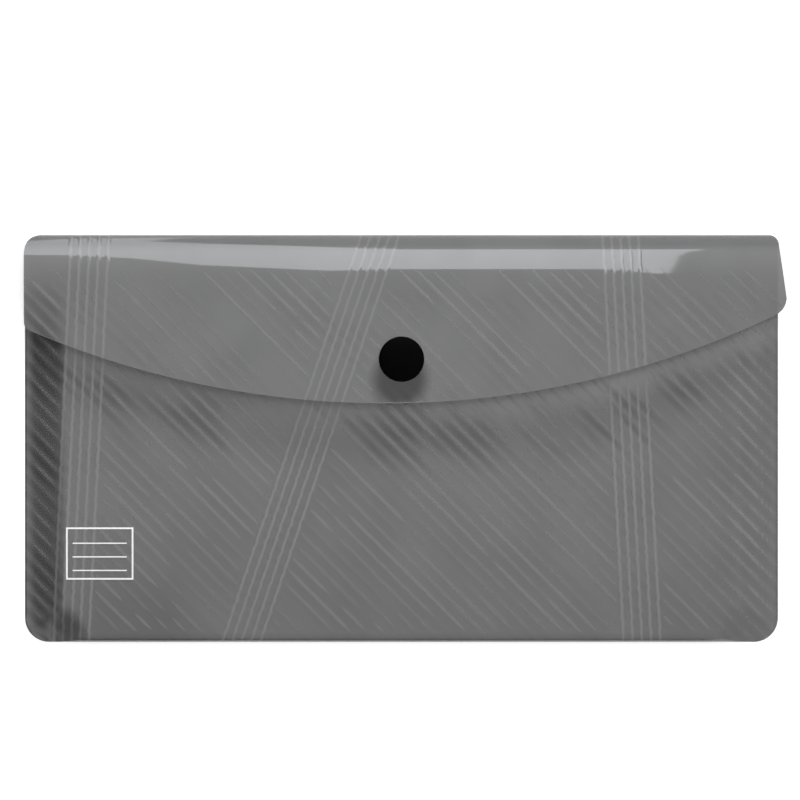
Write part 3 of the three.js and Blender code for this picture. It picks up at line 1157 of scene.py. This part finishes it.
def stud_material():
    material, tree = new_material("moulded_black_acetal")
    place = add(tree, "ShaderNodeTexCoord").outputs["Object"]
    grain = add(tree, NOISE, {"Scale": 1 / stud_grain, "Detail": 3.0}, {"Vector": place}).outputs["Fac"]
    cloud = add(tree, NOISE, {"Scale": 1 / stud_cloud, "Detail": 2.0}, {"Vector": place}).outputs["Fac"]
    blacks = {"data_type": "RGBA", 6: linear(stud_darkest), 7: linear(stud_palest)}
    colour = add(tree, "ShaderNodeMix", blacks, {0: cloud})
    rough = add(tree, RANGE, stud_roughness, {"Value": grain})
    bump = add(tree, BUMP, stud_relief, {"Height": grain})
    inputs = {"Base Color": colour.outputs[2], "Roughness": rough, "Normal": bump}
    shader = add(tree, "ShaderNodeBsdfPrincipled", stud_sheen, inputs)
    add(tree, "ShaderNodeOutputMaterial", {}, {"Surface": shader})
    return material


black_acetal = stud_material()
for piece in (flap_cap, flap_socket, pocket_stud, pocket_cap):
    piece.data.materials.append(black_acetal)
print("stud", black_acetal.name)

# %% [markdown]
# ## White screen-printed ink
# The ink is matt white screen print, a little uneven where the screen's mesh held it back.
# A noise as fine as that mesh changes its white by a shade and roughens its face.

# %% Ink material
ink_grain = 0.4 * MM
ink_thin = "#d6d8d8"
ink_full = "#fbfbfa"
ink_relief = {"Strength": 0.2, "Distance": 0.01 * MM}
ink_sheen = {"IOR": 1.5, "Roughness": 0.6}


def ink_material():
    material, tree = new_material("screen_printed_white_ink")
    place = add(tree, "ShaderNodeTexCoord").outputs["Object"]
    screen = add(tree, NOISE, {"Scale": 1 / ink_grain, "Detail": 3.0}, {"Vector": place}).outputs["Fac"]
    whites = {"data_type": "RGBA", 6: linear(ink_thin), 7: linear(ink_full)}
    colour = add(tree, "ShaderNodeMix", whites, {0: screen})
    bump = add(tree, BUMP, ink_relief, {"Height": screen})
    inputs = {"Base Color": colour.outputs[2], "Normal": bump}
    shader = add(tree, "ShaderNodeBsdfPrincipled", ink_sheen, inputs)
    add(tree, "ShaderNodeOutputMaterial", {}, {"Surface": shader})
    return material


white_ink = ink_material()
name_print.data.materials.append(white_ink)
print("ink", white_ink.name)

# %% [markdown]
# ## The table
# The photograph looks straight down on the folder on a white table.
# The table is plain white to the lamps, and it glows a little only to the camera and in reflections,
# so that it shows as white without throwing more light on the folder.

# %% Floor
floor_size = 6
floor_gap = 0.1 * MM
floor_white = "#e6e6e6"
floor_glow = 0.6
floor_mesh = bmesh.new()
bmesh.ops.create_grid(floor_mesh, x_segments=1, y_segments=1, size=floor_size)
bmesh.ops.translate(floor_mesh, verts=floor_mesh.verts, vec=(0, 0, -floor_gap))
floor = finished(floor_mesh, "floor", smooth=False)


def floor_material():
    material, tree = new_material("white_table")
    path = add(tree, "ShaderNodeLightPath").outputs
    seen = add(tree, MATH, larger, {0: path["Is Camera Ray"], 1: path["Is Glossy Ray"]})
    lit = add(tree, MATH, times, {0: seen, 1: floor_glow})
    paper = add(tree, "ShaderNodeBsdfDiffuse", {"Color": linear(floor_white)})
    glow = add(tree, "ShaderNodeEmission", {"Color": (1, 1, 1, 1)}, {"Strength": lit})
    both = add(tree, "ShaderNodeAddShader", {}, {0: paper, 1: glow})
    add(tree, "ShaderNodeOutputMaterial", {}, {"Surface": both})
    return material


floor.data.materials.append(floor_material())
print("floor", floor.name)

# %% [markdown]
# ## The soft light overhead
# The world is the wide soft light over the table: bright overhead and to the right, dark low on the left.
# So the left margin of the pocket, which slopes outwards, turns dark as it does in the photo.
# The camera and the rays that pass through a piece see plain white instead.

# %% World
sky_level = 1.15
sky_fill = 0.03
dark_lean = math.radians(-52)
bright_lean = math.radians(11)
right_weight = 0.95
back_weight = 0.15
scattered_share = 0.97
# Less light from far right and more from far back: where this sets in and is full, and its two shares
far_right = (0.3, 0.8, 1.0, 0.8)
far_back = (0.5, 0.8, 1.0, 1.25)


def soft_world():
    world = bpy.data.worlds.new("white_studio")
    world.use_nodes = True
    tree = world.node_tree
    tree.nodes.clear()
    path = add(tree, "ShaderNodeLightPath").outputs
    place = add(tree, "ShaderNodeTexCoord").outputs["Generated"]
    way = add(tree, "ShaderNodeSeparateXYZ", {}, {0: place}).outputs
    rightwards = add(tree, MATH, times, {0: way["X"], 1: right_weight})
    backwards = add(tree, MATH, times, {0: way["Y"], 1: back_weight})
    sideways = add(tree, MATH, plus, {0: rightwards, 1: backwards})
    lean = add(tree, MATH, {"operation": "ARCTAN2"}, {0: sideways, 1: way["Z"]})
    light = add(tree, RANGE, eased(dark_lean, bright_lean, sky_fill, sky_level), {"Value": lean})
    less = {"To Min": 1.0, "To Max": scattered_share}
    shares = [
        add(tree, RANGE, less, {"Value": path["Is Diffuse Ray"]}),
        add(tree, RANGE, eased(*far_right), {"Value": way["X"]}),
        add(tree, RANGE, eased(*far_back), {"Value": way["Y"]}),
    ]
    for share in shares:
        light = add(tree, MATH, times, {0: light, 1: share})
    seen = add(tree, MATH, larger, {0: path["Is Camera Ray"], 1: path["Is Transmission Ray"]})
    strength = add(tree, "ShaderNodeMix", {"data_type": "FLOAT", 3: 1.0}, {0: seen, 2: light})
    sky = add(tree, "ShaderNodeBackground", {"Color": (1, 1, 1, 1)}, {"Strength": strength})
    add(tree, "ShaderNodeOutputWorld", {}, {"Surface": sky})
    return world


bpy.context.scene.world = soft_world()
print("world", bpy.context.scene.world.name)

# %% [markdown]
# ## The strip light over the top fold
# A bright strip beyond the fold makes the long pale reflection there.
# Its two edges are set station by station, so the reflection widens and ends in a hook as in the photo.
# It is a glowing sheet and not a lamp, because a lamp can't have such an outline.

# %% Stations of the strip light
# Place along the fold in mm, the angles at which the strip begins and ends seen from there, share of light
strip_stations = [
    (-136, 23, 84, 0.88),
    (-112, 22, 80, 0.88),
    (-90, 18, 54, 0.9),
    (-67, 10.3, 46, 0.92),
    (-24, 4.5, 36.5, 0.97),
    (0, 6.1, 32, 1.0),
    (66, 6.1, 32, 1.0),
    (84, 1.9, 32, 1.0),
    (88.6, 1.9, 32, 1.0),
    (90.5, 10, 32, 1.0),
    (92.5, 20, 32, 1.0),
    (96, 27, 32, 1.0),
    (102, 31, 32, 1.0),
]
print("strip stations", len(strip_stations))

# %% Strip light
view_height = 2.4
strip_height = 0.35
strip_radiance = 4.2
strip_colour = "#fafdff"


def hide_from(thing, *rays):
    for ray in rays:
        setattr(thing, "visible_" + ray, False)


def strip_light():
    """The camera's rays lean outwards and go on so when reflected, so the stations are spread a little."""
    mesh = bmesh.new()
    last = len(strip_stations) - 1
    bmesh.ops.create_grid(mesh, x_segments=last, y_segments=1, size=1)
    glow = mesh.verts.layers.float.new("glow")
    spread = 1 + strip_height / view_height
    for vertex in mesh.verts:
        place, begin, end, share = strip_stations[grid_index(vertex.co.x, last)]
        vertex[glow] = share
        angle = math.radians(begin if vertex.co.y < 0 else end)
        vertex.co = Vector((place * MM * spread, fold + strip_height * math.tan(angle), strip_height))
    bmesh.ops.reverse_faces(mesh, faces=mesh.faces)
    strip = finished(mesh, "strip_light", smooth=False)
    material, tree = new_material("strip_light_cloth")
    share = add(tree, "ShaderNodeAttribute", {"attribute_name": "glow"}).outputs["Fac"]
    strength = add(tree, MATH, times, {0: share, 1: strip_radiance})
    cloth = add(tree, "ShaderNodeEmission", {"Color": linear(strip_colour)}, {"Strength": strength})
    add(tree, "ShaderNodeOutputMaterial", {}, {"Surface": cloth})
    strip.data.materials.append(material)
    hide_from(strip, "camera", "shadow", "transmission")
    return strip


strip = strip_light()
print("strip light", len(strip.data.polygons), "faces")

# %% [markdown]
# ## The low light beyond the fold
# A wide lamp low over the far end of the table throws the soft shadows below the flap's edge and the cap.
# It shows in no reflection, so it adds only plain light and those shadows.

# %% Low light
low_distance = 2.5
low_width = 4.0
low_radiance = 39.0
# The angles above the table at which the lamp begins and ends, seen from the folder
low_angles = (6.5, 12.5)
lamp_low, lamp_high = (low_distance * math.tan(math.radians(angle)) for angle in low_angles)
lamp = bpy.data.lights.new("low_light", "AREA")
lamp.shape = "RECTANGLE"
lamp.size = low_width
lamp.size_y = lamp_high - lamp_low
lamp.energy = low_radiance * math.pi * low_width * (lamp_high - lamp_low)
low_light = bpy.data.objects.new("low_light", lamp)
low_light.location = (0, low_distance, (lamp_low + lamp_high) / 2)
low_light.rotation_euler = (math.radians(-90), 0, 0)
hide_from(low_light, "camera", "glossy")
bpy.context.scene.collection.objects.link(low_light)
print("low light", lamp.size, "by", lamp.size_y, "energy", lamp.energy)

# %% [markdown]
# ## The flag behind the fold
# Without it the low light would brighten the curved fold, which is dark above its reflection in the photo.
# A low black card keeps the light off the fold, and the flap's flat top still gets all of it.

# %% Flag
flag_gap = 7.5 * MM
flag_top = 9.9 * MM


def light_flag():
    mesh = bmesh.new()
    bmesh.ops.create_grid(mesh, x_segments=1, y_segments=1, size=1)
    for vertex in mesh.verts:
        vertex.co = Vector((vertex.co.x * 2 * side, fold + flag_gap, flag_top * (vertex.co.y + 1) / 2))
    card = finished(mesh, "light_flag", smooth=False)
    material, tree = new_material("black_card")
    paint = add(tree, "ShaderNodeBsdfDiffuse", {"Color": (0, 0, 0, 1)})
    add(tree, "ShaderNodeOutputMaterial", {}, {"Surface": paint})
    card.data.materials.append(material)
    hide_from(card, "camera", "glossy", "transmission", "diffuse")


light_flag()
print("flag", flag_top, "high")

# %% [markdown]
# ## The camera
# The photo shows no perspective, so the camera stands high over the table with a long lens.
# It looks a little beyond the folder's middle, so more white is left above the folder, as in the photo.

# %% Camera
photo_width_seen = 265.6 * MM
sensor = 36.0
camera_x = -0.5 * MM
camera_y = 12.8 * MM
camera_data = bpy.data.cameras.new("camera")
camera_data.sensor_width = sensor
camera_data.lens = sensor * view_height / photo_width_seen
camera = bpy.data.objects.new("camera", camera_data)
camera.location = (camera_x, camera_y, view_height)
bpy.context.scene.collection.objects.link(camera)
bpy.context.scene.camera = camera
bpy.context.scene.view_settings.view_transform = "Standard"
print("lens", camera_data.lens)
